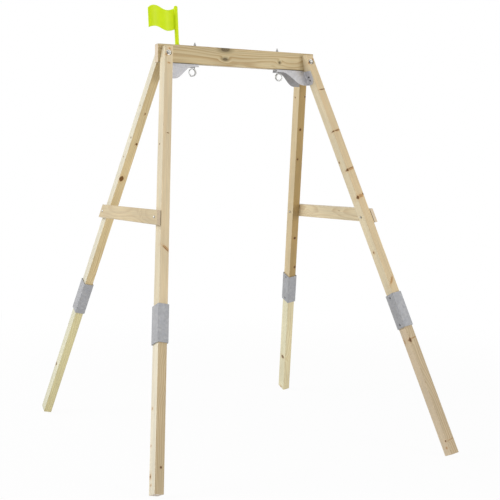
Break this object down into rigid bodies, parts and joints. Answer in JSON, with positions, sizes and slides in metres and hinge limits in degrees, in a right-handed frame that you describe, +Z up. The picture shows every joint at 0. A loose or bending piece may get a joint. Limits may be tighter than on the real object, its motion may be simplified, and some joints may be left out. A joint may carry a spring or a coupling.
{
  "type": "wooden swing frame",
  "caption": "Freestanding wooden A-frame for a child's swing: splayed legs with steel sleeves, a top beam with corner brackets, spiral swing hooks and a small flag.",
  "frame": {"origin": "on the floor, midway between the four feet", "axes": "+Z up, +X along the top beam away from the flag, -Y towards the front, where the domed nuts are"},
  "size_m": [1.6502, 1.8622, 2.2903],
  "materials": {
    "timber": "planed pressure-treated pine, matt",
    "lower_timber": "planed pressure-treated pine, greener, matt",
    "galvanised_steel": "galvanised sheet with a faint spangle",
    "zinc_steel": "bright zinc plate",
    "lime_plastic": "lime green moulding, satin"
  },
  "bodies": {
    "frame": {"bracket_screw_lower_back_left": "zinc_steel", "bracket_screw_lower_back_right": "zinc_steel", "bracket_screw_lower_front_left": "zinc_steel", "bracket_screw_lower_front_right": "zinc_steel", "bracket_screw_upper_back_left": "zinc_steel", "bracket_screw_upper_back_right": "zinc_steel", "bracket_screw_upper_front_left": "zinc_steel", "bracket_screw_upper_front_right": "zinc_steel", "corner_bracket_left": "galvanised_steel", "corner_bracket_right": "galvanised_steel", "cross_rail_left": "timber", "cross_rail_right": "timber", "flag_foot": "lime_plastic", "flag_screw": "zinc_steel", "hook_washer_left": "zinc_steel", "hook_washer_right": "zinc_steel", "leg_bolt_left": "zinc_steel", "leg_bolt_right": "zinc_steel", "leg_bolt_washer_back_left": "zinc_steel", "leg_bolt_washer_back_right": "zinc_steel", "leg_bolt_washer_front_left": "zinc_steel", "leg_bolt_washer_front_right": "zinc_steel", "leg_nut_left": "zinc_steel", "leg_nut_right": "zinc_steel", "leg_sleeve_back_left": "galvanised_steel", "leg_sleeve_back_right": "galvanised_steel", "leg_sleeve_front_left": "galvanised_steel", "leg_sleeve_front_right": "galvanised_steel", "lower_leg_back_left": "lower_timber", "lower_leg_back_right": "lower_timber", "lower_leg_front_left": "lower_timber", "lower_leg_front_right": "lower_timber", "rail_bolt_back_left": "zinc_steel", "rail_bolt_back_right": "zinc_steel", "rail_bolt_front_left": "zinc_steel", "rail_bolt_front_right": "zinc_steel", "rail_nut_back_left": "zinc_steel", "rail_nut_back_right": "zinc_steel", "rail_nut_front_left": "zinc_steel", "rail_nut_front_right": "zinc_steel", "sleeve_screw_lower_back_left": "zinc_steel", "sleeve_screw_lower_back_right": "zinc_steel", "sleeve_screw_lower_front_left": "zinc_steel", "sleeve_screw_lower_front_right": "zinc_steel", "sleeve_screw_upper_back_left": "zinc_steel", "sleeve_screw_upper_back_right": "zinc_steel", "sleeve_screw_upper_front_left": "zinc_steel", "sleeve_screw_upper_front_right": "zinc_steel", "top_beam": "timber", "upper_leg_back_left": "timber", "upper_leg_back_right": "timber", "upper_leg_front_left": "timber", "upper_leg_front_right": "timber"},
    "flag": {"flag": "lime_plastic"},
    "hook_left": {"swing_hook_left": "zinc_steel", "hook_nut_left": "zinc_steel", "hook_collar_left": "zinc_steel"},
    "hook_right": {"swing_hook_right": "zinc_steel", "hook_nut_right": "zinc_steel", "hook_collar_right": "zinc_steel"}
  },
  "joints": [
    {"name": "flag_turn", "type": "hinge", "parent": "frame", "child": "flag", "pos_m": [-0.3445, 0, 2.09], "axis": [-0.0523, 0, 0.9986], "continuous": true},
    {"name": "hook_swivel_left", "type": "hinge", "parent": "frame", "child": "hook_left", "pos_m": [-0.2445, 0, 1.995], "axis": [0, 0, 1], "continuous": true},
    {"name": "hook_swivel_right", "type": "hinge", "parent": "frame", "child": "hook_right", "pos_m": [0.2445, 0, 1.995], "axis": [0, 0, 1], "continuous": true}
  ]
}
